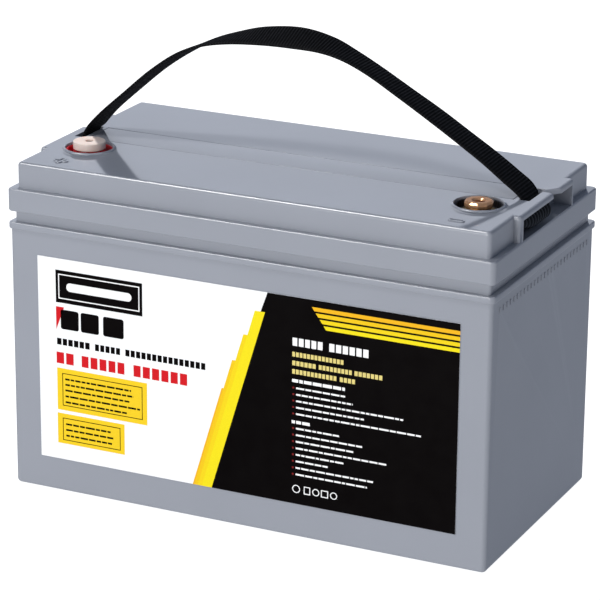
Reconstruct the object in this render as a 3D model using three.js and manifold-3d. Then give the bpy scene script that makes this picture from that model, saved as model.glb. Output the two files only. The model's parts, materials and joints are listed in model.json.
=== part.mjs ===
// A sealed 12 V deep cycle battery: a six-cell moulded jar and its glued lid, plate
// groups and separators in every cell, relief valves under a vent cover, two bolt
// terminals in coloured cups, and a webbing carry handle held in a pocket at each end.
// Millimetres, +Z up. The origin is the centre of the underside, X runs along the
// length, and the labelled front faces -Y.

import * as THREE from 'three';
import { mergeVertices } from 'three/addons/utils/BufferGeometryUtils.js';
import Module from 'manifold-3d';

const wasm = await Module();
wasm.setup();

// ---- driving dimensions ------------------------------------------------------

const LENGTH = 330;            // over the lid band
const DEPTH = 172;             // over the lid band
const GAP = 0.3;               // left between pieces that touch
const CUT = 2;                 // how far a cutter runs past the face it opens

// the jar, from the floor up
const JAR_LENGTH = 327.4;
const JAR_DEPTH = 169.4;
const FLOOR = 4;
const FLANGE_BOTTOM = 172.4;
const FLANGE_TOP = 176.9;
const NECK_LENGTH = 322.5;
const NECK_DEPTH = 164.5;
const NECK_TOP = 192.6;
const NECK_WALL = 3;
const JAR_CORNER = 3;
const FOOT_FILLET = 2.6;

// the six cells
const CELLS = 6;
const PARTITION = 2.2;
const PARTITION_TOP = 190;
const CELL_ROW = NECK_LENGTH - 2 * NECK_WALL;
const CELL_DEPTH = NECK_DEPTH - 2 * NECK_WALL;
const CELL_LENGTH = (CELL_ROW - (CELLS - 1) * PARTITION) / CELLS;
const CELL_PITCH = CELL_LENGTH + PARTITION;

// the lid
const LID_BOTTOM = 184;
const BAND_TOP = 198.7;
const BAND_FILLET = 1.2;
const SOCKET_TOP = 194;
const BLOCK_LENGTH = 320;
const BLOCK_DEPTH = 162.6;
const LID_TOP = 215.3;
const TOP_FILLET = 2.4;
const LID_CORNER = 3;
const TOP_PLATE = 3;

// the handle pocket in each end of the lid
const BOSS_END = 164.4;
const BOSS_HALF = 45;
const POCKET_INNER = 152.4;
const POCKET_FRONT = -40;
const POCKET_BACK = 41;
const POCKET_TOP = 211.6;
const SLOT_OUTER = 157;
const SLOT_INNER = 150.4;
const SLOT_FRONT = -13;
const SLOT_BACK = 14.2;
const BAR_TIP = 9;             // where the bar between slot and end face stops
const NOTCH_INNER_BACK = 12.5; // the notch behind the bar's tip widens outwards
const NOTCH_OUTER_BACK = 22.5;

// the vent cover and the valves under it
const COVER_LENGTH = 294;
const COVER_DEPTH = 27.4;
const COVER_THICK = 2.6;
const COVER_SUNK = 0.25;
const LEDGE = 2.2;
const CHANNEL_FLOOR = 201.3;
const CHANNEL_PLATE = 2.5;
const CHIMNEY_TOP = 208.8;
const CHIMNEY_RADIUS = 5.5;
const CHIMNEY_BORE = 3.2;

// the terminals
const TERMINAL_X = 133.5;
const TERMINAL_Y = -35.5;
const TERMINAL_TOP = 219;
const TERMINAL_RADIUS = 9;
const STEM_RADIUS = 7.5;
const BOLT_RADIUS = 3.4;       // tapping size of an M8 thread
const WELL_RADIUS = 15.2;
const WELL_WALL = 3.3;
const WELL_FLOOR = 201;
const COLLAR_TOP = 216.5;
const COLLAR_RIM = 16.8;
const COLLAR_BASE = 19.2;

// the carry handle
const STRAP_WIDTH = 21.5;
const STRAP_THICK = 1.9;
const STRAP_BEND = 222;        // above this the webbing swings
const STRAP_HELD = 216.5;      // below this the webbing stays in its slot
const TOGGLE_X = 160;
const TOGGLE_TOP = 211.2;
const TOGGLE_HALF = 4.5;       // half its width, at its thickest
const TOGGLE_HEIGHT = 10.8;
const TOGGLE_FRONT = -38.5;
const TOGGLE_BACK = 6.5;

// ---- colours -----------------------------------------------------------------

const paint = (color, roughness, metalness = 0) =>
  new THREE.MeshStandardMaterial({ color, roughness, metalness });

const GREY_ABS = paint(0x9a9fab, 0.45);
const BLACK_PLASTIC = paint(0x131416, 0.5);
const RED_PLASTIC = paint(0x9e1218, 0.4);
const WHITE_PLASTIC = paint(0xefe6de, 0.4);
const COPPER = paint(0xc07a45, 0.25, 1);
const WEBBING = paint(0x0d0d0f, 0.8);
const RUBBER = paint(0x1c1c1d, 0.8);
const LEAD = paint(0x6c7075, 0.55, 0.8);
const POSITIVE_PASTE = paint(0x4a3128, 0.9);
const NEGATIVE_PASTE = paint(0x70757a, 0.85);
const GLASS_MAT = paint(0xe8e6df, 0.95);
const LABEL_FILM = paint(0xe9eaec, 0.35);
const EPOXY = paint(0x2f3a3d, 0.5);

// ---- small builders ----------------------------------------------------------

const battery = new THREE.Group();
battery.name = 'deep_cycle_battery';

function add(name, geometry, material) {
  const mesh = new THREE.Mesh(geometry, material);
  mesh.name = name;
  battery.add(mesh);
}

// A closed mesh whose shared corners are merged, as a solid that can be cut.
function solid(geometry) {
  const bare = geometry.clone();
  bare.deleteAttribute('normal');
  bare.deleteAttribute('uv');
  const merged = mergeVertices(bare, 1e-4);
  return new wasm.Manifold(new wasm.Mesh({
    numProp: 3,
    vertProperties: new Float32Array(merged.attributes.position.array),
    triVerts: new Uint32Array(merged.index.array),
  }));
}

function geometryOf(body) {
  const mesh = body.getMesh();
  const geometry = new THREE.BufferGeometry();
  geometry.setAttribute('position', new THREE.BufferAttribute(mesh.vertProperties, 3));
  geometry.setIndex(new THREE.BufferAttribute(mesh.triVerts, 1));
  geometry.computeVertexNormals();
  return geometry;
}

const addSolid = (name, body, material) => add(name, geometryOf(body), material);
const joined = (bodies) => bodies.reduce((whole, body) => whole.add(body));
const without = (body, cutters) => body.subtract(joined(cutters));

// A box from its lowest to its highest corner.
function box([x0, y0, z0], [x1, y1, z1]) {
  const geometry = new THREE.BoxGeometry(x1 - x0, y1 - y0, z1 - z0);
  return solid(geometry.translate((x0 + x1) / 2, (y0 + y1) / 2, (z0 + z1) / 2));
}

// An upright slab with the given outline in X and Y.
function plate(outline, z0, z1) {
  const shape = new THREE.Shape(outline.map(([x, y]) => new THREE.Vector2(x, y)));
  const geometry = new THREE.ExtrudeGeometry(shape, { depth: z1 - z0, bevelEnabled: false });
  return solid(geometry.translate(0, 0, z0));
}

// A box that is centred on the Z axis.
const centredBox = (length, depth, z0, z1) =>
  box([-length / 2, -depth / 2, z0], [length / 2, depth / 2, z1]);

// An upright cylinder or cone.
function post(x, y, z0, z1, bottomRadius, topRadius = bottomRadius, sides = 32) {
  const geometry = new THREE.CylinderGeometry(topRadius, bottomRadius, z1 - z0, sides);
  return solid(geometry.rotateX(Math.PI / 2).translate(x, y, (z0 + z1) / 2));
}

// A turned piece on an upright axis, from [radius, z] points.
function turned(x, y, profile, sides = 24) {
  const points = profile.map(([radius, z]) => new THREE.Vector2(radius, z));
  const geometry = new THREE.LatheGeometry(points, sides);
  return solid(geometry.rotateX(Math.PI / 2).translate(x, y, 0));
}

function roundedRectangle(length, depth, radius) {
  const [x, y] = [length / 2, depth / 2];
  const shape = new THREE.Shape();
  shape.moveTo(-x + radius, -y);
  shape.lineTo(x - radius, -y);
  shape.absarc(x - radius, -y + radius, radius, -Math.PI / 2, 0);
  shape.lineTo(x, y - radius);
  shape.absarc(x - radius, y - radius, radius, 0, Math.PI / 2);
  shape.lineTo(-x + radius, y);
  shape.absarc(-x + radius, y - radius, radius, Math.PI / 2, Math.PI);
  shape.lineTo(-x, -y + radius);
  shape.absarc(-x + radius, -y + radius, radius, Math.PI, 1.5 * Math.PI);
  return shape;
}

// A block with round upright corners and filleted top and bottom edges.
function roundedBlock(length, depth, z0, z1, corner, fillet, x = 0) {
  const geometry = new THREE.ExtrudeGeometry(roundedRectangle(length, depth, corner), {
    depth: z1 - z0 - 2 * fillet,
    bevelThickness: fillet,
    bevelSize: fillet,
    bevelOffset: -fillet,
    bevelSegments: fillet > 1 ? 4 : 2,
    curveSegments: corner > 2 ? 5 : 3,
  });
  return solid(geometry.translate(x, 0, z0 + fillet));
}

const mirroredInX = (body) => body.mirror([1, 0, 0]);
const bothEnds = (body) => [body, mirroredInX(body)];

const cellCentre = (cell) => (cell - (CELLS + 1) / 2) * CELL_PITCH;
const partitionCentre = (cell) => cellCentre(cell) + CELL_PITCH / 2;
const cellNumbers = Array.from({ length: CELLS }, (_, index) => index + 1);
const partitionNumbers = cellNumbers.slice(0, -1);

// ---- jar ---------------------------------------------------------------------

const WELD_Z = 182;
const WELD_RADIUS = 4;
const BUSBAR_Y = 50;           // how far from the middle the plate groups' bars lie

// Each cell passes its current on at the side where its negative bar is.
const negativeSide = (cell) => (cell % 2 === 1 ? 1 : -1);

function xCylinder(x0, x1, y, z, radius, sides = 12) {
  const geometry = new THREE.CylinderGeometry(radius, radius, x1 - x0, sides);
  return solid(geometry.rotateZ(Math.PI / 2).translate((x0 + x1) / 2, y, z));
}

// The row of small moulded ticks under the flange on each end wall.
function endTicks() {
  const count = 27;
  const pitch = 5.6;
  const [width, height, proud, drop] = [1.3, 3.2, 0.5, 8.5];
  const ticks = [];
  for (let index = 0; index < count; index += 1) {
    const y = (index - (count - 1) / 2) * pitch;
    const z = FLANGE_BOTTOM - drop;
    ticks.push(...bothEnds(box(
      [JAR_LENGTH / 2 - 1, y - width / 2, z],
      [JAR_LENGTH / 2 + proud, y + width / 2, z + height],
    )));
  }
  return ticks;
}

function container() {
  const shell = joined([
    roundedBlock(JAR_LENGTH, JAR_DEPTH, 0, FLANGE_TOP - 0.5, JAR_CORNER, FOOT_FILLET),
    roundedBlock(LENGTH, DEPTH, FLANGE_BOTTOM, FLANGE_TOP, JAR_CORNER + 0.6, 0.9),
    roundedBlock(NECK_LENGTH, NECK_DEPTH, FLANGE_BOTTOM - 2, NECK_TOP, 2, 0.5),
    ...endTicks(),
  ]);
  const cells = cellNumbers.map((cell) => box(
    [cellCentre(cell) - CELL_LENGTH / 2, -CELL_DEPTH / 2, FLOOR],
    [cellCentre(cell) + CELL_LENGTH / 2, CELL_DEPTH / 2, NECK_TOP + CUT],
  ));
  const aboveWalls = centredBox(CELL_ROW, CELL_DEPTH, PARTITION_TOP, NECK_TOP + CUT);
  const weldHoles = partitionNumbers.map((cell) => xCylinder(
    partitionCentre(cell) - PARTITION,
    partitionCentre(cell) + PARTITION,
    BUSBAR_Y * negativeSide(cell),
    WELD_Z,
    WELD_RADIUS + GAP,
  ));
  return without(shell, [...cells, aboveWalls, ...weldHoles]);
}

addSolid('container', container(), GREY_ABS);

// The epoxy that glues the neck into the lid.
const beadHeight = SOCKET_TOP - NECK_TOP - 2 * GAP;
addSolid('lid_glue_bead', without(
  centredBox(NECK_LENGTH - 1, NECK_DEPTH - 1, NECK_TOP + GAP, NECK_TOP + GAP + beadHeight),
  [centredBox(CELL_ROW + 1, CELL_DEPTH + 1, NECK_TOP, SOCKET_TOP)],
), EPOXY);

// ---- lid ---------------------------------------------------------------------

const BLOCK_WALL = 3.5;
const CHANNEL_HALF = COVER_DEPTH / 2 + GAP;
const LEDGE_Z = LID_TOP - COVER_SUNK - COVER_THICK - GAP;
const END_CAVITY = 144;        // where the head space stops short of a handle pocket
const SIGN_X = 133;
const SIGN_Y = -68;
const SIGN_CORNER = 1.9;

// The head space above one cell, on both sides of the vent channel.
function headSpace(cell) {
  const x0 = cellCentre(cell) - CELL_LENGTH / 2;
  const x1 = cellCentre(cell) + CELL_LENGTH / 2;
  const roofX0 = Math.max(x0, -END_CAVITY);
  const roofX1 = Math.min(x1, END_CAVITY);
  const y0 = CHANNEL_HALF + CHANNEL_PLATE;
  const y1 = BLOCK_DEPTH / 2 - BLOCK_WALL;
  const channelUnderside = CHANNEL_FLOOR - CHANNEL_PLATE;
  return [
    box([x0, -y1, PARTITION_TOP], [x1, y1, SOCKET_TOP + CUT]),
    box([roofX0, -y1, PARTITION_TOP], [roofX1, y1, channelUnderside]),
    box([roofX0, y0, PARTITION_TOP], [roofX1, y1, LID_TOP - TOP_PLATE]),
    box([roofX0, -y1, PARTITION_TOP], [roofX1, -y0, LID_TOP - TOP_PLATE]),
  ];
}

// The channel that the valves stand in, with the ledge that its cover rests on.
function ventChannel() {
  const half = COVER_LENGTH / 2 + GAP;
  return [
    box([-half, -CHANNEL_HALF, LEDGE_Z], [half, CHANNEL_HALF, LID_TOP + CUT]),
    box([-half + LEDGE, -CHANNEL_HALF + LEDGE, CHANNEL_FLOOR],
      [half - LEDGE, CHANNEL_HALF - LEDGE, LID_TOP]),
  ];
}

// Cutters for one handle pocket: the recess under the bar, the slot that the webbing
// comes up through, and the notch behind the bar's tip that it was threaded in by.
function handlePocket() {
  const past = LENGTH / 2 + CUT;
  const recess = box([POCKET_INNER, POCKET_FRONT, BAND_TOP],
    [past, POCKET_BACK, POCKET_TOP]);
  const slot = box([SLOT_INNER, SLOT_FRONT, BAND_TOP + 1.5],
    [SLOT_OUTER, SLOT_BACK, LID_TOP + CUT]);
  const slant = (NOTCH_OUTER_BACK - NOTCH_INNER_BACK) / (BOSS_END - SLOT_OUTER);
  const outline = [[SLOT_OUTER - 1, BAR_TIP], [past, BAR_TIP],
    [past, NOTCH_INNER_BACK + slant * (past - SLOT_OUTER)],
    [SLOT_OUTER, NOTCH_INNER_BACK], [SLOT_OUTER - 1, NOTCH_INNER_BACK]];
  const notch = plate(outline, POCKET_TOP - 1, LID_TOP + CUT);
  return [recess, slot, notch];
}

// The raised outline of a plus or minus sign in front of a terminal.
function polaritySign(x, y, strokes) {
  const line = 0.9;
  const proud = 0.6;
  const filled = (inset, z0, z1) => joined(strokes.map(([length, depth]) => {
    const radius = Math.max(0.4, SIGN_CORNER - inset);
    const shape = roundedRectangle(length - 2 * inset, depth - 2 * inset, radius);
    const geometry = new THREE.ExtrudeGeometry(shape,
      { depth: z1 - z0, bevelEnabled: false, curveSegments: 4 });
    return solid(geometry.translate(x, y, z0));
  }));
  return filled(0, LID_TOP - 1, LID_TOP + proud)
    .subtract(filled(line, LID_TOP - 2, LID_TOP + CUT));
}

function lid() {
  const wells = [-TERMINAL_X, TERMINAL_X];
  const boss = roundedBlock(2 * (BOSS_END - 150), 2 * BOSS_HALF,
    SOCKET_TOP, LID_TOP, 2.5, TOP_FILLET, 150);
  const outside = joined([
    roundedBlock(LENGTH, DEPTH, LID_BOTTOM, BAND_TOP, LID_CORNER + 0.6, BAND_FILLET),
    roundedBlock(BLOCK_LENGTH, BLOCK_DEPTH, SOCKET_TOP, LID_TOP, LID_CORNER, TOP_FILLET),
    ...bothEnds(boss),
  ]);
  const hollow = without(outside, [
    centredBox(NECK_LENGTH + 2 * GAP, NECK_DEPTH + 2 * GAP, LID_BOTTOM - CUT, SOCKET_TOP),
    ...cellNumbers.flatMap(headSpace),
    ...ventChannel(),
    ...bothEnds(joined(handlePocket())),
  ]);
  const ribs = partitionNumbers.map((cell) => box(
    [partitionCentre(cell) - PARTITION / 2, -CELL_DEPTH / 2 + GAP, PARTITION_TOP + GAP],
    [partitionCentre(cell) + PARTITION / 2, CELL_DEPTH / 2 - GAP,
      CHANNEL_FLOOR - CHANNEL_PLATE + 0.5],
  ));
  const chimneys = cellNumbers.map((cell) => post(cellCentre(cell), 0,
    CHANNEL_FLOOR - 1, CHIMNEY_TOP, CHIMNEY_RADIUS, CHIMNEY_RADIUS, 16));
  const sleeves = wells.map((x) => post(x, TERMINAL_Y, WELL_FLOOR - WELL_WALL,
    LID_TOP - 1, WELL_RADIUS + WELL_WALL, WELL_RADIUS + WELL_WALL, 24));
  const collars = wells.map((x) => post(x, TERMINAL_Y, LID_TOP - 1, COLLAR_TOP,
    COLLAR_BASE, COLLAR_RIM, 40));
  const filled = joined([hollow, ...ribs, ...chimneys, ...sleeves, ...collars,
    polaritySign(-SIGN_X - 3.5, SIGN_Y + 1.5, [[10, 4], [4, 10]]),
    polaritySign(SIGN_X, SIGN_Y - 1, [[10.5, 4.2]])]);
  return without(filled, [
    ...cellNumbers.map((cell) => post(cellCentre(cell), 0,
      CHANNEL_FLOOR - CHANNEL_PLATE - CUT, CHIMNEY_TOP + CUT, CHIMNEY_BORE,
      CHIMNEY_BORE, 12)),
    ...wells.map((x) => post(x, TERMINAL_Y, WELL_FLOOR, COLLAR_TOP + CUT,
      WELL_RADIUS, WELL_RADIUS, 40)),
    ...wells.map((x) => post(x, TERMINAL_Y, PARTITION_TOP, WELL_FLOOR + 1,
      STEM_RADIUS + 1, STEM_RADIUS + 1, 24)),
  ]);
}

addSolid('lid', lid(), GREY_ABS);

// ---- vent cover and valves -----------------------------------------------------

const coverTop = LID_TOP - COVER_SUNK;
addSolid('vent_cover', roundedBlock(COVER_LENGTH, COVER_DEPTH, coverTop - COVER_THICK,
  coverTop, 1, 0.4), GREY_ABS);

// A rubber cap stretched over a chimney; gas lifts it and escapes under its skirt.
function valveCap(cell) {
  const [outer, inner] = [CHIMNEY_RADIUS + 1.4, CHIMNEY_RADIUS + GAP];
  const [skirt, roof, top] = [CHANNEL_FLOOR + 1.6, CHIMNEY_TOP + GAP, CHIMNEY_TOP + 1.9];
  return turned(cellCentre(cell), 0, [[0, top], [0, roof], [inner, roof],
    [inner, skirt], [outer, skirt], [outer, top - 0.8], [outer - 0.8, top], [0, top]], 16);
}

cellNumbers.forEach((cell) => addSolid(`valve_cap_${cell}`, valveCap(cell), RUBBER));

// ---- terminals -----------------------------------------------------------------

const CUP_FLOOR = 211.6;
const SEAL_TOP = 208.8;
const SEAL_BOTTOM = 206.7;
const COLLET_RADIUS = 9.9;     // the lead post's head, which holds the threaded insert
const INSERT_BOTTOM = 202.3;
const BUSBAR_TOP = 187;

function terminal(side, polarity, cupMaterial) {
  const x = side * TERMINAL_X;
  const rim = WELL_RADIUS - GAP;
  const fit = STEM_RADIUS + GAP;
  const bore = COLLET_RADIUS + GAP;
  const top = COLLAR_TOP - 0.6;
  addSolid(`terminal_cup_${polarity}`, turned(x, TERMINAL_Y, [
    [bore, WELL_FLOOR + GAP], [rim, WELL_FLOOR + GAP], [rim, top], [rim - 1.1, top],
    [rim - 1.7, CUP_FLOOR], [fit, CUP_FLOOR], [fit, SEAL_TOP + GAP],
    [bore, SEAL_TOP + GAP], [bore, WELL_FLOOR + GAP],
  ], 40), cupMaterial);
  addSolid(`terminal_seal_${polarity}`, turned(x, TERMINAL_Y, [
    [fit, SEAL_BOTTOM], [COLLET_RADIUS, SEAL_BOTTOM], [COLLET_RADIUS, SEAL_TOP],
    [fit, SEAL_TOP], [fit, SEAL_BOTTOM],
  ], 16), RUBBER);
  addSolid(`terminal_post_${polarity}`, turned(x, TERMINAL_Y, [
    [0, BUSBAR_TOP + GAP], [STEM_RADIUS, BUSBAR_TOP + GAP], [STEM_RADIUS, WELL_FLOOR + GAP],
    [COLLET_RADIUS, WELL_FLOOR + GAP], [COLLET_RADIUS, SEAL_BOTTOM - GAP],
    [fit, SEAL_BOTTOM - GAP], [fit, INSERT_BOTTOM - GAP], [0, INSERT_BOTTOM - GAP],
    [0, BUSBAR_TOP + GAP],
  ], 16), LEAD);
  addSolid(`terminal_insert_${polarity}`, turned(x, TERMINAL_Y, [
    [0, INSERT_BOTTOM], [STEM_RADIUS, INSERT_BOTTOM], [STEM_RADIUS, 213.6],
    [TERMINAL_RADIUS - 1, 214.4], [TERMINAL_RADIUS, 215.8],
    [TERMINAL_RADIUS, TERMINAL_TOP - 0.9], [TERMINAL_RADIUS - 0.9, TERMINAL_TOP],
    [BOLT_RADIUS + 0.7, TERMINAL_TOP], [BOLT_RADIUS, TERMINAL_TOP - 0.7],
    [BOLT_RADIUS, 204.5], [0, 204.5], [0, INSERT_BOTTOM],
  ]), COPPER);
}

terminal(-1, 'positive', RED_PLASTIC);
terminal(1, 'negative', BLACK_PLASTIC);

// The white cap that covers the positive terminal until it is connected.
const capInner = TERMINAL_RADIUS + GAP;
const capOuter = capInner + 1;
const capTop = TERMINAL_TOP + 2;
const capSkirt = 215;
const capHole = 3.2;
addSolid('positive_terminal_cap', turned(-TERMINAL_X, TERMINAL_Y, [
  [capInner, capSkirt], [capOuter, capSkirt], [capOuter, capTop - 0.8],
  [capOuter - 0.8, capTop], [capHole, capTop], [capHole, TERMINAL_TOP + GAP],
  [capInner, TERMINAL_TOP + GAP], [capInner, capSkirt],
]), WHITE_PLASTIC);

// ---- carry handle ----------------------------------------------------------------

// The webbing's middle line from the left slot to the right one, as x, y, z and the
// twist in degrees, which tips its front edge down.
const STRAP_LINE = [
  [-154, 3, 203.6, 0], [-153.9, 3, 213, 0], [-150.4, 3, 220.5, -6],
  [-141, 2.5, 229.6, -11], [-122.7, 1, 246, -13], [-101.7, 0, 264, -13],
  [-82.8, 0, 277, -10], [-66.5, 0, 284.8, -4], [-49.8, 0, 289.6, 5],
  [-30, 0, 293.2, 17], [-5, 0, 294.6, 23], [16.5, 0, 292.2, 18],
  [31.4, 0, 287.4, 12], [47.6, 0, 280, 9], [68.3, 0, 268.6, 5], [89.3, 0, 256.8, 1],
  [108.9, -0.5, 245.3, 0], [125.9, -1, 235.1, 1], [140.1, -1.5, 225.6, 5],
  [149.8, -1.5, 218.6, 6], [153.8, -1.5, 212.8, 2], [154, -1.5, 203.6, 0],
];
const STRAP_STEPS = 72;

// A long box bent along the middle line: its own X is the width, Y the thickness.
function webbing() {
  const line = new THREE.CatmullRomCurve3(
    STRAP_LINE.map(([x, y, z]) => new THREE.Vector3(x, y, z)), false, 'centripetal');
  const twist = new THREE.SplineCurve(
    STRAP_LINE.map(([, , , degrees], index) => new THREE.Vector2(index, degrees)));
  const geometry = new THREE.BoxGeometry(STRAP_WIDTH, STRAP_THICK, 1, 1, 1, STRAP_STEPS);
  const position = geometry.attributes.position;
  for (let index = 0; index < position.count; index += 1) {
    const along = position.getZ(index) + 0.5;
    const centre = line.getPoint(along);
    const tangent = line.getTangent(along);
    const outward = new THREE.Vector3(-tangent.z, 0, tangent.x).normalize();
    const angle = THREE.MathUtils.degToRad(twist.getPoint(along).y);
    const across = new THREE.Vector3(0, Math.cos(angle), 0)
      .addScaledVector(outward, Math.sin(angle));
    const normal = new THREE.Vector3().crossVectors(tangent, across).normalize();
    centre.addScaledVector(across, position.getX(index));
    centre.addScaledVector(normal, position.getY(index));
    position.setXYZ(index, centre.x, centre.y, centre.z);
  }
  return solid(geometry);
}

// The webbing is one strip. It bends where it leaves the two slots, so that stretch is
// left open, between the arch that swings and the two ends that stay in the slots.
const strip = webbing();
const overall = [LENGTH / 2, DEPTH / 2];
addSolid('handle_strap', strip.subtract(
  box([-overall[0], -overall[1], 0], [...overall, STRAP_BEND]),
), WEBBING);
addSolid('strap_end_left', strip.intersect(
  box([-overall[0], -overall[1], 0], [0, overall[1], STRAP_HELD]),
), WEBBING);
addSolid('strap_end_right', strip.intersect(
  box([0, -overall[1], 0], [...overall, STRAP_HELD]),
), WEBBING);

// The ribbed bar that the webbing is looped round. It thins towards its front end and
// is drawn up flat against the underside of the pocket's bar.
function toggle(side) {
  const ribs = 9;
  const step = (TOGGLE_BACK - TOGGLE_FRONT) / ribs;
  const swell = (y) => {
    const along = (y - TOGGLE_FRONT) / (TOGGLE_BACK - TOGGLE_FRONT);
    return 0.42 + 0.58 * Math.sin(Math.min(1, 2 * along + 0.05) * Math.PI / 2);
  };
  const groove = 0.88;
  const profile = [[0, TOGGLE_FRONT]];
  for (let index = 0; index < ribs; index += 1) {
    const start = TOGGLE_FRONT + index * step;
    profile.push([groove * swell(start), start], [swell(start + 0.3 * step), start + 0.3 * step],
      [swell(start + 0.7 * step), start + 0.7 * step]);
  }
  profile.push([groove, TOGGLE_BACK], [0, TOGGLE_BACK]);
  const points = profile.map(([radius, y]) => new THREE.Vector2(radius, y));
  const geometry = new THREE.LatheGeometry(points, 12);
  const position = geometry.attributes.position;
  for (let index = 0; index < position.count; index += 1) {
    const y = position.getY(index);
    const drop = (swell(y) - position.getZ(index)) * TOGGLE_HEIGHT / 2;
    position.setX(index, side * TOGGLE_X + position.getX(index) * TOGGLE_HALF);
    position.setZ(index, TOGGLE_TOP - drop);
  }
  return solid(geometry);
}

addSolid('handle_toggle_left', toggle(-1), BLACK_PLASTIC);
addSolid('handle_toggle_right', toggle(1), BLACK_PLASTIC);

// ---- front label -------------------------------------------------------------------

const LABEL_HALF = 144;
const LABEL_BOTTOM = 22.5;
const LABEL_TOP = 157.5;
const LABEL_THICK = 0.35;
const labelBack = -JAR_DEPTH / 2 - 0.1;
addSolid('front_label', box([-LABEL_HALF, labelBack - LABEL_THICK, LABEL_BOTTOM],
  [LABEL_HALF, labelBack, LABEL_TOP]), LABEL_FILM);

// ---- cell internals ----------------------------------------------------------------

const POSITIVE_PLATES = 5;
const POSITIVE_THICK = 3.6;
const NEGATIVE_THICK = 2.4;
const PLATE_SPACE = 1.75;      // between plates, where the glass mat lies
const MAT_THICK = 1.15;
const PLATE_HALF = 74;         // half the plates' width, along Y
const PLATE_BOTTOM = FLOOR + 3;
const PLATE_TOP = 168;
const MAT_TOP = 172;
const BUSBAR_BOTTOM = 177;
const BUSBAR_HALF = 8;
const LUG_HALF = 5;
const PLATE_STEP = POSITIVE_THICK + NEGATIVE_THICK + 2 * PLATE_SPACE;

const positiveOffsets = Array.from({ length: POSITIVE_PLATES },
  (_, index) => (index - (POSITIVE_PLATES - 1) / 2) * PLATE_STEP);
const negativeOffsets = Array.from({ length: POSITIVE_PLATES + 1 },
  (_, index) => (index - POSITIVE_PLATES / 2) * PLATE_STEP);

// One polarity's plates in a cell, hung from the lead bar that joins their lugs. The
// bars of the two end cells reach in under the terminal posts.
function plateGroup(cell, offsets, thick, side) {
  const x = cellCentre(cell);
  const reach = CELL_LENGTH / 2 - GAP;
  const endCell = cell === 1 || cell === CELLS;
  const innerY = endCell && side < 0 ? TERMINAL_Y + STEM_RADIUS + 1 : side * (BUSBAR_Y - BUSBAR_HALF);
  const outerY = side * (BUSBAR_Y + BUSBAR_HALF);
  const bar = box([x - reach, Math.min(innerY, outerY), BUSBAR_BOTTOM],
    [x + reach, Math.max(innerY, outerY), BUSBAR_TOP]);
  const plates = offsets.map((offset) => box([x + offset - thick / 2, -PLATE_HALF, PLATE_BOTTOM],
    [x + offset + thick / 2, PLATE_HALF, PLATE_TOP]));
  const lugs = offsets.map((offset) => box(
    [x + offset - 1, side * BUSBAR_Y - LUG_HALF, PLATE_TOP - 1],
    [x + offset + 1, side * BUSBAR_Y + LUG_HALF, BUSBAR_BOTTOM + 1],
  ));
  return joined([bar, ...plates, ...lugs]);
}

// The outline of a sheet of even thickness that follows a path of right-angled turns.
function sheetOutline(path, half) {
  const normals = path.slice(1).map((point, index) => point.clone().sub(path[index])
    .normalize().rotateAround(new THREE.Vector2(), Math.PI / 2));
  const shift = path.map((_, index) => {
    const [before, after] = [normals[index - 1], normals[index]];
    return before && after ? before.clone().add(after) : (before ?? after).clone();
  });
  const side = (sign) => path.map((point, index) =>
    point.clone().addScaledVector(shift[index], sign * half));
  return new THREE.Shape([...side(-1), ...side(1).reverse()]);
}

// The absorbent glass mat: one sheet folded to and fro between all the plates.
function glassMat(cell) {
  const spaces = 2 * POSITIVE_PLATES;
  const offCentre = (POSITIVE_THICK - NEGATIVE_THICK) / 4;
  const foldY = PLATE_HALF + GAP + MAT_THICK / 2;
  const path = [];
  for (let index = 0; index < spaces; index += 1) {
    const sign = index % 2 === 0 ? 1 : -1;
    const x = cellCentre(cell) + (index - (spaces - 1) / 2) * (PLATE_STEP / 2)
      - sign * offCentre;
    path.push(new THREE.Vector2(x, -sign * foldY), new THREE.Vector2(x, sign * foldY));
  }
  const geometry = new THREE.ExtrudeGeometry(sheetOutline(path, MAT_THICK / 2),
    { depth: MAT_TOP - FLOOR - 1, bevelEnabled: false });
  return geometry.translate(0, 0, FLOOR + 1);
}

cellNumbers.forEach((cell) => {
  const side = negativeSide(cell);
  addSolid(`positive_plates_${cell}`,
    plateGroup(cell, positiveOffsets, POSITIVE_THICK, -side), POSITIVE_PASTE);
  addSolid(`negative_plates_${cell}`,
    plateGroup(cell, negativeOffsets, NEGATIVE_THICK, side), NEGATIVE_PASTE);
  add(`glass_mat_${cell}`, glassMat(cell), GLASS_MAT);
});

// The slug of lead that joins two cells through the wall between them.
partitionNumbers.forEach((cell) => addSolid(`intercell_weld_${cell}`, xCylinder(
  partitionCentre(cell) - PARTITION / 2,
  partitionCentre(cell) + PARTITION / 2,
  BUSBAR_Y * negativeSide(cell),
  WELD_Z,
  WELD_RADIUS,
), LEAD));

export default battery;
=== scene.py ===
"""The looks of a sealed deep cycle battery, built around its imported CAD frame.

The case shells are the CAD shells with their edges rounded off. The vent cover, the
webbing, its ribbed toggles, the turned terminal pieces and the printed label are built
here. Sizes are in millimetres until mm() turns them into Blender's metres.
"""
import json
import math
import random

import bmesh
import bpy
from mathutils import Matrix, Vector
from mathutils.geometry import intersect_point_line


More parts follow.
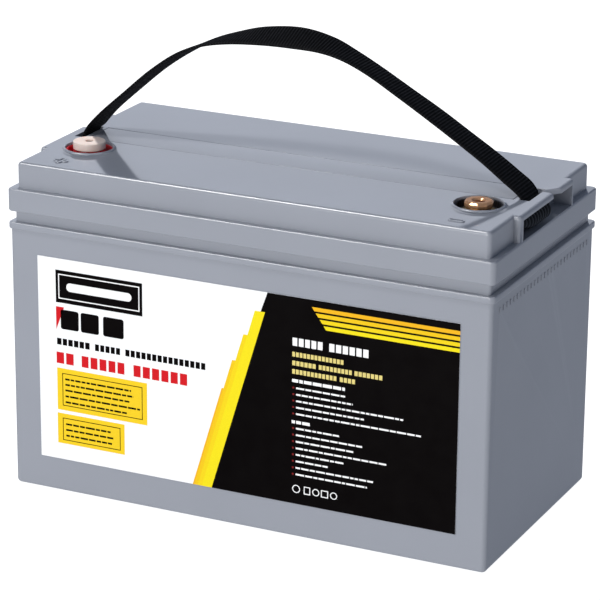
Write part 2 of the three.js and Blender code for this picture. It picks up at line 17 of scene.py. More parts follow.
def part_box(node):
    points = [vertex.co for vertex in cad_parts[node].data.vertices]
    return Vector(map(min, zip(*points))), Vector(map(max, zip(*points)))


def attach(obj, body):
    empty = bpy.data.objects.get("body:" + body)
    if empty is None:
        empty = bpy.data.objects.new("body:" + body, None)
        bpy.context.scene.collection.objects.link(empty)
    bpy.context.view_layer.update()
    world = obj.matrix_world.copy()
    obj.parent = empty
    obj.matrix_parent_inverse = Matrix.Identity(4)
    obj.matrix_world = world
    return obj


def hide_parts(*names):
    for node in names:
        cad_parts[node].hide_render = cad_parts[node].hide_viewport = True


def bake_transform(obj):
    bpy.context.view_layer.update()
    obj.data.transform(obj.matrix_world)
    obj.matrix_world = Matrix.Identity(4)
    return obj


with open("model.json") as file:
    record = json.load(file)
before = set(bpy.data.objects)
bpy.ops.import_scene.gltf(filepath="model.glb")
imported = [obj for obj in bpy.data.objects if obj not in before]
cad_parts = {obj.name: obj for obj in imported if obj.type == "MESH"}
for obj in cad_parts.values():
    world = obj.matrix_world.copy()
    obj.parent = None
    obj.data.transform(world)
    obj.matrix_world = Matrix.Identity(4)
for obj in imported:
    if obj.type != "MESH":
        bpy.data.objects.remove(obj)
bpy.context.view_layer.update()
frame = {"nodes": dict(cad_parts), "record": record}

MM = 0.001
SEED = 4

# ---- the case --------------------------------------------------------------------

EDGE_ROUND = 0.25          # radius given to the sharp edges of the moulded shells
SHARP_EDGE = 50            # degrees between two faces that make an edge sharp
SHORTEST_ROUNDED = 3       # the shortest edge that is rounded, in radii
SHORTEST_BESIDE = 1.2      # the shortest edge that may meet a rounded one, in radii
CLOSEST_BESIDE = 2.2       # how near two rounded edges of one face may run, in radii
ROUND_STEPS = 2
FLAT_ANGLE = 0.8           # degrees within which CAD triangles are one flat face
WELD = 0.002
NO_LENGTH = 1e-7           # metres
SMOOTH_ANGLE = 35

LID_TOP = 215.3
VENT_SEAM = 0.25           # the cover is this much smaller all round than in CAD
VENT_ROUND = 0.3
VENT_CORNER = 1.2

# ---- terminals -------------------------------------------------------------------

TERMINAL_X = 133.5
TERMINAL_Y = -35.5
TERMINAL_RADIUS = 9
TERMINAL_TOP = 219
STEM_RADIUS = 7.5
INSERT_BOTTOM = 202.3
BOLT_RADIUS = 3.4
BOLT_BOTTOM = 204.5
THREAD_PITCH = 1.25
THREAD_DEPTH = 0.35
THREAD_START = 1.6         # below the insert's top
THREAD_RUNOUT = 1          # plain bore left above the hole's bottom
WELL_RADIUS = 15.2
WELL_FLOOR = 201
COLLAR_RADIUS = 17
RIM_TOP = 217.2
CUP_FLOOR = 211.6
CUP_TOP = 215.9
SEAL_TOP = 208.8
COLLET_RADIUS = 9.9
FIT = 0.3
HEAD_FLATS = 10
HEAD_BOTTOM = 213.6
HEAD_FLARE = 214.4
HEAD_EDGE = 215.8
HEAD_CHAMFER = 1.1
BLUNT = 0.012              # how much of the head's corners is turned off
BOLT_CHAMFER = 1.2
BRASS_RADIUS = 10.4
BRASS_HEIGHT = 1.5
FLUTES = 36
FLUTE_DEPTH = 0.1
CUP_LIP = 1.1
CUP_DRAFT = 0.6
SEAT_WALL = 1.2
CAP_TOP = 221
CAP_SKIRT = 216.3
SEAT_TOP = 216
CAP_HOLE = 2.4
TURNED_SIDES = 96

# ---- carry handle ----------------------------------------------------------------

STRAP_WIDTH = 21.4
STRAP_THICK = 1.86
RIB_PITCH = 2.04
RIB_DEPTH = 0.42
SELVEDGE = 1.3             # the plain woven edge beside the ribs
EDGE_HALF = 0.18           # half the thickness at the very edge
SELVEDGE_OUTLINE = ((0.12, 0.62), (0.45, 0.86), (0.95, 0.84))  # inset, share of thickness
STATIONS_PER_RIB = 6

# The webbing's middle line: x, y, z and the twist in degrees. It follows the CAD source,
# apart from a tighter bend at the left slot and a twist that varies more freely.
STRAP_LINE = [
    (-154, 3, 203.6, 0), (-153.6, 3, 214.4, 0), (-149.8, 3, 219.8, -6),
    (-141, 2.5, 229.6, -5), (-122.7, 1, 246, -4.5), (-101.7, 0, 264, -5.5),
    (-82.8, 0, 277, -6), (-66.5, 0, 284.8, 0), (-49.8, 0, 289.6, 7.5),
    (-30, 0, 293.2, 18), (-5, 0, 294.6, 23), (16.5, 0, 292.2, 12.5),
    (31.4, 0, 287.4, 3), (47.6, 0, 280, -0.5), (68.3, 0, 268.6, 0),
    (89.3, 0, 256.8, 2), (108.9, -0.5, 245.3, 2.5), (125.9, -1, 235.1, 4),
    (140.1, -1.5, 225.6, 6), (149.8, -1.5, 218.6, 6), (153.8, -1.5, 212.8, 2),
    (154, -1.5, 203.6, 0),
]

TOGGLE_RIBS = 11
TOGGLE_RIB_DEPTH = 0.16    # as a share of the toggle's half width
TOGGLE_THIN = 0.42         # its thin end, as a share of its full thickness
TOGGLE_END_TAPER = 0.14
TOGGLE_SIDES = 40
TOGGLE_END_ROUND = 0.6

# ---- front label -----------------------------------------------------------------

LABEL_HALF = 144
LABEL_BOTTOM = 22.5
LABEL_TOP = 157.5
INK_STEP = 0.03            # each layer of print stands this far proud of the last
INK_SUNK = 0.01
BLOCK_PITCH = 0.86         # of a word's blocks, as a share of its height
BLOCK_GAP = 0.2
BAR_LENGTHS = (2.2, 6.5)   # the shortest and longest bar of small print
BAR_GAP = 0.7

# The label's layout, as places on the front wall: x from its middle, z from the ground.
# A box is (x0, z0, x1, z1), and a row of words is a list of (x0, x1).
STAIR_FOOT = -21.3
STAIR_SLANT = 0.301
STAIR_TOPS = (144.6, 128, 110, 90.4)
STAIR_OFFSETS = (0, 6.9, 9.7, 12, 13.3)
PANEL_NOTCH = [(17.1, LABEL_TOP), (12.5, STAIR_TOPS[0])]
STRIPE_TOP = 153
STRIPE_LEFT = 46.9
STRIPE_PITCH = 3.7
STRIPE_HEIGHT = 2.5
STRIPE_STAGGER = 2.65
STRIPE_SLANT = 1.7
PLATE = (-131.2, 128.4, -69.4, 150)
PLATE_BORDER = (-129.3, 131.1, -71.4, 147.6)
PLATE_BAR = (-123.5, 136.6, -77, 142.2)
PLATE_BAR_ROUND = 2.7
PLATE_STROKE = 0.7
FLASH = [(-131.3, 125.6), (-125.4, 125.6), (-131.3, 110.1)]
HEADING_BLOCKS = [(-128, -115), (-113.5, -100.5), (-97.5, -82.8)]
HEADING_HEIGHTS = (111, 124)
HEADING_ROUND = 1.5
LINE_WORDS = [(-130.9, -106.5), (-103.5, -84.7), (-81.8, -24.6)]
LINE_HEIGHTS = (100.2, 104.6)
RATING_WORDS = [(-131.5, -117.6), (-113.3, -81.1), (-76.1, -36.7)]
RATING_HEIGHTS = (87.6, 95.2)
UPPER_BOX = (-131.3, 56.2, -66.6, 84.5)
UPPER_BORDER = (-127.6, 59.3, -69.9, 81.3)
LOWER_BOX = (-131.5, 33.4, -83, 53.9)
LOWER_BORDER = (-127.8, 35.7, -86, 51)
BOX_STROKE = 0.5
BOX_TEXT_LEFT = -125.5
BOX_TEXT = [(77.4, -78), (73.7, -76.4), (69.9, -79.3), (65.9, -71.7), (61.9, -81.1),
            (46.9, -93.1), (43, -91.2), (39.1, -92.1)]    # z, and the x where it ends
BOX_TEXT_HEIGHT = 1.25
RIGHT_HEADING = [(34.2, 55.4), (58.8, 85.9)]
RIGHT_HEADING_HEIGHTS = (126.2, 131.4)
RIGHT_LINES = [(120.7, [(34.1, 69)]), (115, [(34.1, 50.5), (52, 74.6), (75.8, 94.8)]),
               (109.5, [(34.1, 64.4), (66.1, 76.8)])]     # z, and its words
TEXT_HALF = 1.5            # half the height of those lines
TIPS_HEADING = (34.1, 69.6, 103.6, 2.1)         # x0, x1, z and height
CAUTIONS_HEADING = (34, 46.3, 76.6, 2)
TIP_TOP = 98.9
TIP_PITCH = 4.23
TIP_ENDS = (69.8, 74.9, 108.4, 82.5, 120.2)
CAUTION_TOP = 72.5
CAUTION_PITCH = 4.33
CAUTION_ENDS = (66, 81.6, 75.7, 97.8, 69.9, 58.6, 89.2, 85.2)
ROW_LEFT = 36.9
ROW_HEIGHT = 1.15
MARK_LEFT = 34.4
MARK_RIGHT = 35.6
TIP_MARK = (-0.5, 0.6)     # foot and top of a row's mark, from the row's middle
CAUTION_MARK = (-0.6, 0.6)
ICON_Z = 32.5
ICON_STROKE = 0.6
ROUND_ICONS = [(37.4, 2.7), (50.8, 2.4), (62.9, 2.4)]     # x and radius
SQUARE_ICONS = [(42.6, 47, 2.6), (54.3, 59.2, 2.4)]       # x0, x1 and half height

# ---- camera and room -------------------------------------------------------------

CAMERA_PLACE = (0.7836, -1.6505, 0.7530)
CAMERA_AZIMUTH = 25.44
CAMERA_ELEVATION = 19.00
CAMERA_ROLL = 0.46
CAMERA_LENS = 182.1
FLOOR_HALF = 6.0
FLOOR_DROP = 0.25
FLOOR_GREY = 0.12
FLOOR_GLOW = 1.0           # the backdrop is lit until it is white
FLOOR_TINT = (0.985, 0.99, 1.0)
SKY = (0.78, 0.93, 1.25)
SKY_STRENGTH = 0.22
NEUTRAL = (1.0, 0.99, 0.97)
AIM = (0, 0, 0.12)         # what the lights face, in metres


def mm(*values):
    return Vector(values) * MM


def on_circle(radius, angle):
    return radius * math.cos(angle), radius * math.sin(angle)


# ==================================================================================
# Materials
# ==================================================================================

def shader(name, color, roughness, metallic=0.0):
    """A new Principled material, with its node tree and its main node."""
    material = bpy.data.materials.new(name)
    material.use_nodes = True
    tree = material.node_tree
    main = tree.nodes["Principled BSDF"]
    main.inputs["Base Color"].default_value = (*color, 1)
    main.inputs["Roughness"].default_value = roughness
    main.inputs["Metallic"].default_value = metallic
    return material, tree, main


def noise(tree, scale, detail=3.0, vector=None):
    """A noise texture over the object's own space, with scale in waves a metre."""
    node = tree.nodes.new("ShaderNodeTexNoise")
    node.inputs["Scale"].default_value = scale
    node.inputs["Detail"].default_value = detail
    if vector is None:
        vector = tree.nodes.new("ShaderNodeTexCoord").outputs["Object"]
    tree.links.new(vector, node.inputs["Vector"])
    return node.outputs["Fac"]


def ranged(tree, value, low, high, start=0.3, end=0.7):
    node = tree.nodes.new("ShaderNodeMapRange")
    limits = {"From Min": start, "From Max": end, "To Min": low, "To Max": high}
    for key, number in limits.items():
        node.inputs[key].default_value = number
    tree.links.new(value, node.inputs["Value"])
    return node.outputs["Result"]


def mixed(tree, factor, first, second):
    """A colour that runs from first to second as factor runs from 0 to 1."""
    node = tree.nodes.new("ShaderNodeMix")
    node.data_type = "RGBA"
    tree.links.new(factor, node.inputs["Factor"])
    for key, color in (("A", first), ("B", second)):
        socket = next(s for s in node.inputs if s.name == key and s.type == "RGBA")
        if isinstance(color, bpy.types.NodeSocket):
            tree.links.new(color, socket)
        else:
            socket.default_value = (*color, 1)
    return next(s for s in node.outputs if s.type == "RGBA")


def bumped(tree, main, height, distance, strength=1.0):
    """Relief of that many millimetres, added to any relief the material already has."""
    node = tree.nodes.new("ShaderNodeBump")
    node.inputs["Distance"].default_value = distance * MM
    node.inputs["Strength"].default_value = strength
    tree.links.new(height, node.inputs["Height"])
    normal = main.inputs["Normal"]
    if normal.is_linked:
        tree.links.new(normal.links[0].from_socket, node.inputs["Normal"])
    tree.links.new(node.outputs["Normal"], normal)


def shaded(color, factor):
    return tuple(channel * factor for channel in color)


def moulded(name, color, roughness, grain=0.012, mottle=0.04, coat=0.0, sheen=0.5):
    """Moulded plastic: cloudy flow marks, a fine eroded grain and uneven gloss."""
    material, tree, main = shader(name, color, roughness)
    clouds = ranged(tree, noise(tree, 14, 4), 0, 1, 0.1, 0.9)
    tint = mixed(tree, clouds, shaded(color, 1 - mottle), shaded(color, 1 + mottle))
    tree.links.new(tint, main.inputs["Base Color"])
    gloss = ranged(tree, noise(tree, 60, 5), roughness - 0.008, roughness + 0.008)
    tree.links.new(gloss, main.inputs["Roughness"])
    bumped(tree, main, noise(tree, 2600, 2), grain)
    bumped(tree, main, noise(tree, 180, 3), grain * 0.7)
    main.inputs["Coat Weight"].default_value = coat
    main.inputs["Specular IOR Level"].default_value = sheen
    return material


def printed_ink(name, color, second=None, along=None):
    """Ink on film: a fine screen grain and a satin laminate over it. With a second
    colour, the ink runs from the first to the second along X, from along[0] to along[1]."""
    material, tree, main = shader(name, color, 0.42)
    main.inputs["IOR"].default_value = 1.15
    grain = ranged(tree, noise(tree, 1500, 2), 0, 1)
    ink = mixed(tree, grain, shaded(color, 0.96), shaded(color, 1.03))
    if second is not None:
        place = tree.nodes.new("ShaderNodeSeparateXYZ")
        coordinates = tree.nodes.new("ShaderNodeTexCoord")
        tree.links.new(coordinates.outputs["Object"], place.inputs[0])
        run = ranged(tree, place.outputs["X"], 0, 1, along[0] * MM, along[1] * MM)
        ink = mixed(tree, run, ink, second)
    tree.links.new(ink, main.inputs["Base Color"])
    gloss = ranged(tree, noise(tree, 90, 4), 0.38, 0.5)
    tree.links.new(gloss, main.inputs["Roughness"])
    bumped(tree, main, noise(tree, 55, 2), 0.05, 0.6)
    return material


def turned_metal(name, color, centre, roughness=0.24, metallic=0.72):
    """Turned metal: fine rings round an upright axis, with a little tarnish."""
    material, tree, main = shader(name, color, roughness, metallic)
    coordinates = tree.nodes.new("ShaderNodeTexCoord")
    moved = tree.nodes.new("ShaderNodeVectorMath")
    moved.operation = "SUBTRACT"
    moved.inputs[1].default_value = mm(*centre)
    tree.links.new(coordinates.outputs["Object"], moved.inputs[0])
    flat = tree.nodes.new("ShaderNodeVectorMath")
    flat.operation = "MULTIPLY"
    flat.inputs[1].default_value = (1, 1, 0)
    tree.links.new(moved.outputs[0], flat.inputs[0])
    radius = tree.nodes.new("ShaderNodeVectorMath")
    radius.operation = "LENGTH"
    tree.links.new(flat.outputs[0], radius.inputs[0])
    height = tree.nodes.new("ShaderNodeSeparateXYZ")
    tree.links.new(moved.outputs[0], height.inputs[0])
    path = tree.nodes.new("ShaderNodeCombineXYZ")
    tree.links.new(radius.outputs["Value"], path.inputs["X"])
    tree.links.new(height.outputs["Z"], path.inputs["Z"])
    bumped(tree, main, noise(tree, 4200, 2, path.outputs[0]), 0.006)
    tarnish = ranged(tree, noise(tree, 120, 3), 0, 1, 0.35, 0.75)
    tint = mixed(tree, tarnish, color, shaded(color, 0.8))
    tree.links.new(tint, main.inputs["Base Color"])
    gloss = ranged(tree, noise(tree, 300, 4), roughness - 0.04, roughness + 0.08)
    tree.links.new(gloss, main.inputs["Roughness"])
    return material


def woven(name, color):
    """Nylon webbing: yarns across each rib and down the selvedges, painted shade in the grooves
    between the ribs, and a dull sheen.
    """
    material, tree, main = shader(name, color, 0.62)
    weave = tree.nodes.new("ShaderNodeAttribute")
    weave.attribute_name = "weave"
    spaced = tree.nodes.new("ShaderNodeVectorMath")
    spaced.operation = "MULTIPLY"
    spaced.inputs[1].default_value = (900, 3200, 1)
    tree.links.new(weave.outputs["Vector"], spaced.inputs[0])
    yarn = noise(tree, 1.0, 2, spaced.outputs[0])
    tint = mixed(tree, ranged(tree, yarn, 0, 1), shaded(color, 0.7), shaded(color, 1.5))
    place = tree.nodes.new("ShaderNodeSeparateXYZ")
    tree.links.new(weave.outputs["Vector"], place.inputs[0])
    wave = place.outputs["X"]
    for operation, number in (("MULTIPLY", math.tau / (RIB_PITCH * MM)), ("COSINE", 0)):
        step = tree.nodes.new("ShaderNodeMath")
        step.operation = operation
        step.inputs[1].default_value = number
        tree.links.new(wave, step.inputs[0])
        wave = step.outputs[0]
    # Painted shade: the colour darkens into the grooves between the ribs and keeps the yarn
    # tint on the rib crests.
    shade = mixed(tree, ranged(tree, wave, 0, 1, 0.35, 1), shaded(color, 0.13), tint)
    tree.links.new(shade, main.inputs["Base Color"])
    bumped(tree, main, yarn, 0.12)
    gloss = ranged(tree, noise(tree, 300, 3), 0.5, 0.74)
    tree.links.new(gloss, main.inputs["Roughness"])
    main.inputs["IOR"].default_value = 1.15
    return material


def rough_mass(name, color, roughness, scale, relief, metallic=0.0, second=None):
    """A cast, pasted or fibrous mass: blotched in colour and pitted or matted."""
    material, tree, main = shader(name, color, roughness, metallic)
    blotches = ranged(tree, noise(tree, scale, 5), 0, 1)
    tint = mixed(tree, blotches, color, second or shaded(color, 1.35))
    tree.links.new(tint, main.inputs["Base Color"])
    bumped(tree, main, noise(tree, scale * 6, 4), relief)
    return material


def translucent_plastic(name, color):
    """White plastic that lets a little light through."""
    material = moulded(name, color, 0.3, grain=0.006, mottle=0.015)
    main = material.node_tree.nodes["Principled BSDF"]
    main.inputs["Subsurface Weight"].default_value = 0.35
    main.inputs["Subsurface Radius"].default_value = (0.0016, 0.0011, 0.0009)
    main.inputs["Subsurface Scale"].default_value = 1.0
    return material


NEGATIVE_AXIS = (TERMINAL_X, TERMINAL_Y, 0)
POSITIVE_AXIS = (-TERMINAL_X, TERMINAL_Y, 0)

GREY = moulded("grey_abs", (0.245, 0.258, 0.292), 0.29, sheen=0.6)
BLACK = moulded("black_plastic", (0.004, 0.004, 0.005), 0.3, sheen=0.3)
TOGGLE_BLACK = moulded("toggle_black", (0.003, 0.003, 0.003), 0.3, sheen=0.2)
RED = moulded("red_plastic", (0.42, 0.008, 0.014), 0.22, grain=0.004, coat=0.4)
WHITE = translucent_plastic("white_plastic", (0.6, 0.5, 0.45))
COPPER = turned_metal("copper", (0.74, 0.4, 0.21), NEGATIVE_AXIS, 0.2)
COPPER_POSITIVE = turned_metal("copper_positive", (0.74, 0.4, 0.21), POSITIVE_AXIS, 0.2)
# Painted shade: the brass is given a dark colour for the shade it sits in, low in the cup under
# the insert's head.
BRASS = turned_metal("brass_ring", (0.2, 0.15, 0.07), NEGATIVE_AXIS, 0.4)
WEBBING = woven("webbing", (0.011, 0.011, 0.013))
RUBBER = rough_mass("rubber", (0.02, 0.02, 0.02), 0.75, 300, 0.05)
LEAD = rough_mass("lead", (0.2, 0.21, 0.22), 0.5, 120, 0.08, metallic=0.8)
POSITIVE_PASTE = rough_mass("positive_paste", (0.07, 0.035, 0.022), 0.9, 220, 0.2)
NEGATIVE_PASTE = rough_mass("negative_paste", (0.17, 0.18, 0.19), 0.85, 220, 0.2)
GLASS_MAT = rough_mass("glass_mat", (0.74, 0.73, 0.69), 0.95, 500, 0.25)
EPOXY = rough_mass("epoxy", (0.03, 0.045, 0.05), 0.25, 40, 0.05)

SLOT_MATERIALS = {
    "grey_abs": GREY,
    "black_plastic": BLACK,
    "red_plastic": RED,
    "white_plastic": WHITE,
    "copper": COPPER,
    "webbing": WEBBING,
    "rubber": RUBBER,
    "lead": LEAD,
    "positive_paste": POSITIVE_PASTE,
    "negative_paste": NEGATIVE_PASTE,
    "glass_mat": GLASS_MAT,
    "epoxy": EPOXY,
    "label_film": printed_ink("label_film", (0.74, 0.745, 0.755)),
}


def dress_cad_nodes():
    """Gives every CAD node the material of its slot in the record."""
    for row in frame["record"]["subparts"]:
        node = frame["nodes"][row["node"]]
        node.data.materials.clear()
        node.data.materials.append(SLOT_MATERIALS[row["material_slot"]])
        node.data.set_sharp_from_angle(angle=math.radians(SMOOTH_ANGLE))


# ==================================================================================
# Mesh helpers
# ==================================================================================

def finished(name, mesh, material, smooth_angle=SMOOTH_ANGLE):
    """A piece made from a mesh: shaded smooth up to an angle, with its material."""
    mesh.materials.clear()
    mesh.materials.append(material)
    mesh.shade_smooth()
    mesh.set_sharp_from_angle(angle=math.radians(smooth_angle))
    piece = bpy.data.objects.new(name, mesh)
    bpy.context.scene.collection.objects.link(piece)
    return piece


def new_mesh(name, points, faces):
    """A mesh whose faces all point outwards, from points in millimetres."""
    bm = bmesh.new()
    corners = [bm.verts.new(mm(*point)) for point in points]
    for face in faces:
        bm.faces.new([corners[index] for index in face])
    bmesh.ops.recalc_face_normals(bm, faces=bm.faces)
    mesh = bpy.data.meshes.new(name)
    bm.to_mesh(mesh)
    bm.free()
    return mesh


def crowded(edge, chosen, reach):
    """True if another chosen edge of the same face runs closer than reach beside it."""
    start, end = (vert.co for vert in edge.verts)
    for face in edge.link_faces:
        for other in face.edges:
            if other not in chosen or set(edge.verts) & set(other.verts):
                continue
            corners = [vert.co for vert in other.verts]
            for point in (*corners, (corners[0] + corners[1]) / 2):
                share = intersect_point_line(point, start, end)[1]
                nearest = start.lerp(end, min(1, max(0, share)))
                if (point - nearest).length < reach:
                    return True
    return False


def softened(node, name, material, body):
    """A CAD shell as one welded skin of flat faces, with its sharp edges rounded. An
    edge that ends beside a very short one, or runs close beside another sharp edge, is
    left sharp, because there's no room."""
    bm = bmesh.new()
    bm.from_mesh(frame["nodes"][node].data)
    bmesh.ops.remove_doubles(bm, verts=bm.verts, dist=WELD * MM)
    bmesh.ops.dissolve_limit(bm, angle_limit=math.radians(FLAT_ANGLE), verts=bm.verts,
                             edges=bm.edges, delimit={"NORMAL"})
    radius = EDGE_ROUND * MM
    shortest = SHORTEST_BESIDE * radius
    roomy = {vert for vert in bm.verts
             if all(edge.calc_length() > shortest for edge in vert.link_edges)}
    edges = [edge for edge in bm.edges
             if edge.calc_face_angle() > math.radians(SHARP_EDGE)
             and edge.calc_length() > SHORTEST_ROUNDED * radius
             and roomy.issuperset(edge.verts)]
    chosen = set(edges)
    edges = [edge for edge in edges if not crowded(edge, chosen, CLOSEST_BESIDE * radius)]
    bmesh.ops.bevel(bm, geom=edges, offset=radius, offset_type="OFFSET",
                    segments=ROUND_STEPS, profile=0.5, affect="EDGES", clamp_overlap=False)
    bmesh.ops.dissolve_degenerate(bm, dist=NO_LENGTH, edges=bm.edges)
    stray = [edge for edge in bm.edges if not edge.link_faces]
    bmesh.ops.delete(bm, geom=stray, context="EDGES")
    mesh = bpy.data.meshes.new(name)
    bm.to_mesh(mesh)
    bm.free()
    piece = finished(name, mesh, material)
    even = piece.modifiers.new("even_shading", "WEIGHTED_NORMAL")
    even.keep_sharp = True
    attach(piece, body)
    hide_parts(node)
    return piece


def filleted(corners, steps=5):
    """An outline with its corners rounded: each corner is (a, b) or (a, b, radius)."""
    outline = []
    count = len(corners)
    for index, corner in enumerate(corners):
        here = Vector(corner[:2])
        radius = corner[2] if len(corner) > 2 else 0
        if not radius:
            outline.append(here)
            continue
        before = (Vector(corners[index - 1][:2]) - here).normalized()
        after = (Vector(corners[(index + 1) % count][:2]) - here).normalized()
        half = before.angle(after) / 2
        reach = radius / math.tan(half)
        centre = here + (before + after).normalized() * (radius / math.sin(half))
        start = here + before * reach - centre
        end = here + after * reach - centre
        turn = start.angle_signed(end)
        for step in range(steps + 1):
            part = Matrix.Rotation(-turn * step / steps, 2) @ start
            outline.append(centre + part)
    return outline


def turned_mesh(name, profile, centre, sides=TURNED_SIDES, shape=None):
    """A closed mesh turned round an upright axis, from a closed (radius, z) outline.
    shape(radius, z, angle) gives another radius where the piece isn't round."""
    points = []
    rings = []
    for radius, z in profile:
        if radius < 1e-6:
            rings.append([len(points)] * sides)
            points.append((centre[0], centre[1], z))
            continue
        rings.append(range(len(points), len(points) + sides))
        for side in range(sides):
            angle = math.tau * side / sides
            reach = shape(radius, z, angle) if shape else radius
            x, y = on_circle(reach, angle)
            points.append((centre[0] + x, centre[1] + y, z))
    faces = []
    for lower, upper in zip(rings, rings[1:] + rings[:1]):
        for side in range(sides):
            after = (side + 1) % sides
            corners = (lower[side], lower[after], upper[after], upper[side])
            face = list(dict.fromkeys(corners))
            if len(face) > 2:
                faces.append(face)
    return new_mesh(name, points, faces)


def prism(points, faces, outline, y_front, y_back):
    """Adds a closed flat prism over an (x, z) outline to the points and faces."""
    start = len(points)
    count = len(outline)
    points.extend((x, y_front, z) for x, z in outline)
    points.extend((x, y_back, z) for x, z in outline)
    faces.append(list(range(start, start + count)))
    faces.append(list(range(start + 2 * count - 1, start + count - 1, -1)))
    for index in range(count):
        after = (index + 1) % count
        faces.append([start + index, start + after, start + count + after,
                      start + count + index])


# ==================================================================================
# Case shells
# ==================================================================================

def build_vent_strip():
    """The flat cover of the valves: level with the lid, with a fine seam round it."""
    low, high = (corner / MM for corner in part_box("vent_cover"))
    half_length = (high.x - low.x) / 2 - VENT_SEAM
    half_depth = (high.y - low.y) / 2 - VENT_SEAM
    middle = (low + high) / 2
    points = []
    faces = []
    levels = [(low.z, 0), (LID_TOP - VENT_ROUND, 0)]
    levels += [(LID_TOP - VENT_ROUND * (1 - math.sin(turn)), VENT_ROUND * (1 - math.cos(turn)))
               for turn in (math.pi / 6, math.pi / 3, math.pi / 2)]
    for z, inset in levels:
        x, y = half_length - inset, half_depth - inset
        corners = [(side, back, VENT_CORNER - inset) for side, back in rectangle(-x, -y, x, y)]
        ring = filleted(corners)
        points.extend((middle.x + point[0], middle.y + point[1], z) for point in ring)
    size = len(points) // len(levels)
    for level in range(len(levels) - 1):
        for index in range(size):
            after = (index + 1) % size
            near, far = level * size, (level + 1) * size
            faces.append([near + index, near + after, far + after, far + index])
    faces.append(list(range(size)))
    faces.append(list(range(len(points) - size, len(points))))
    piece = finished("vent_strip", new_mesh("vent_strip", points, faces), GREY)
    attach(piece, "case")
    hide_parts("vent_cover")


def build_case():
    softened("container", "jar", GREY, "case")
    softened("lid", "stepped_lid", GREY, "case")
    build_vent_strip()


# ==================================================================================
# Terminals
# ==================================================================================

def cup_wall(radius, z, angle):
    """The cup's inner wall has fine upright flutes."""
    inner = WELL_RADIUS - 4 < radius < WELL_RADIUS - 1 and z > CUP_FLOOR + 0.2
    return radius + (FLUTE_DEPTH * math.cos(FLUTES * angle) if inner else 0)


def build_cup(polarity, axis, material, seated=False):
    """A terminal cup. A seated one has a collar that the terminal's cap stands on."""
    rim = WELL_RADIUS - FIT
    fit = STEM_RADIUS + FIT
    bore = COLLET_RADIUS + FIT
    middle = [(fit, CUP_FLOOR, 0.3)]
    if seated:
        inner = TERMINAL_RADIUS + FIT
        outer = inner + SEAT_WALL
        ledge = CUP_FLOOR + SEAT_WALL
        middle = [(outer, CUP_FLOOR, 0.3), (outer, SEAT_TOP, 0.3), (inner, SEAT_TOP, 0.3),
                  (inner, ledge), (fit, ledge)]
    profile = filleted([
        (bore, WELL_FLOOR + FIT), (rim, WELL_FLOOR + FIT, 0.5), (rim, CUP_TOP, 0.45),
        (rim - CUP_LIP, CUP_TOP, 0.45), (rim - CUP_LIP - CUP_DRAFT, CUP_FLOOR, 0.9), *middle,
        (fit, SEAL_TOP + FIT), (bore, SEAL_TOP + FIT),
    ])
    mesh = turned_mesh(f"cup_{polarity}", profile, axis, 144, cup_wall)
    piece = finished(f"cup_{polarity}", mesh, material)
    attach(piece, "case")
    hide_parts(f"terminal_cup_{polarity}")


def faceted_head(radius, z, angle):
    """The head is a polygon with blunt corners, and the rest of the insert is round."""
    if radius < TERMINAL_RADIUS - HEAD_CHAMFER - 0.2 or z < HEAD_BOTTOM - 0.1:
        return radius
    slice_angle = math.tau / HEAD_FLATS
    off_middle = (angle % slice_angle) - slice_angle / 2
    flat = math.cos(slice_angle / 2) / math.cos(off_middle)
    return radius * min(1, flat + BLUNT)


def build_insert(polarity, axis, material):
    """A turned insert with a faceted head and a threaded hole."""
    top = TERMINAL_TOP
    mouth = top - BOLT_CHAMFER
    outside = filleted([
        (0, INSERT_BOTTOM), (STEM_RADIUS, INSERT_BOTTOM, 0.4), (STEM_RADIUS, HEAD_BOTTOM, 0.3),
        (TERMINAL_RADIUS - 1, HEAD_FLARE, 0.3), (TERMINAL_RADIUS, HEAD_EDGE, 0.4),
        (TERMINAL_RADIUS, top - HEAD_CHAMFER, 0.3), (TERMINAL_RADIUS - HEAD_CHAMFER, top, 0.3),
        (BOLT_RADIUS + BOLT_CHAMFER, top, 0.2), (BOLT_RADIUS, mouth, 0.1), (0, mouth),
    ])[:-1]
    thread = []
    z = top - THREAD_START
    while z - THREAD_PITCH > BOLT_BOTTOM + THREAD_RUNOUT:
        thread += [(BOLT_RADIUS, z), (BOLT_RADIUS + THREAD_DEPTH, z - THREAD_PITCH / 2)]
        z -= THREAD_PITCH
    thread += [(BOLT_RADIUS, z), (BOLT_RADIUS, BOLT_BOTTOM + BOLT_CHAMFER), (0, BOLT_BOTTOM)]
    mesh = turned_mesh(f"insert_{polarity}", outside + thread, axis, TURNED_SIDES,
                       faceted_head)
    piece = finished(f"insert_{polarity}", mesh, material, 25)
    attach(piece, "case")
    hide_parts(f"terminal_insert_{polarity}")


def build_brass_ring():
    """The plain ring round the foot of the bare insert."""
    inner = STEM_RADIUS + 0.05
    bottom = CUP_FLOOR + 0.05
    top = CUP_FLOOR + BRASS_HEIGHT
    profile = filleted([
        (inner, bottom, 0.1), (BRASS_RADIUS, bottom, 0.2), (BRASS_RADIUS, top, 0.4),
        (inner, top, 0.1),
    ])
    mesh = turned_mesh("negative_ring", profile, NEGATIVE_AXIS)
    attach(finished("negative_ring", mesh, BRASS), "case")


def build_well_rim(polarity, axis):
    """The rounded bead that crowns the collar round a terminal well."""
    inner, outer = WELL_RADIUS + 0.05, COLLAR_RADIUS
    profile = filleted([
        (inner, LID_TOP - 0.1), (outer, LID_TOP - 0.1, 0.05), (outer, RIM_TOP, 1.2),
        (inner, RIM_TOP, 0.5),
    ], 6)
    mesh = turned_mesh(f"well_rim_{polarity}", profile, axis)
    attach(finished(f"well_rim_{polarity}", mesh, GREY), "case")


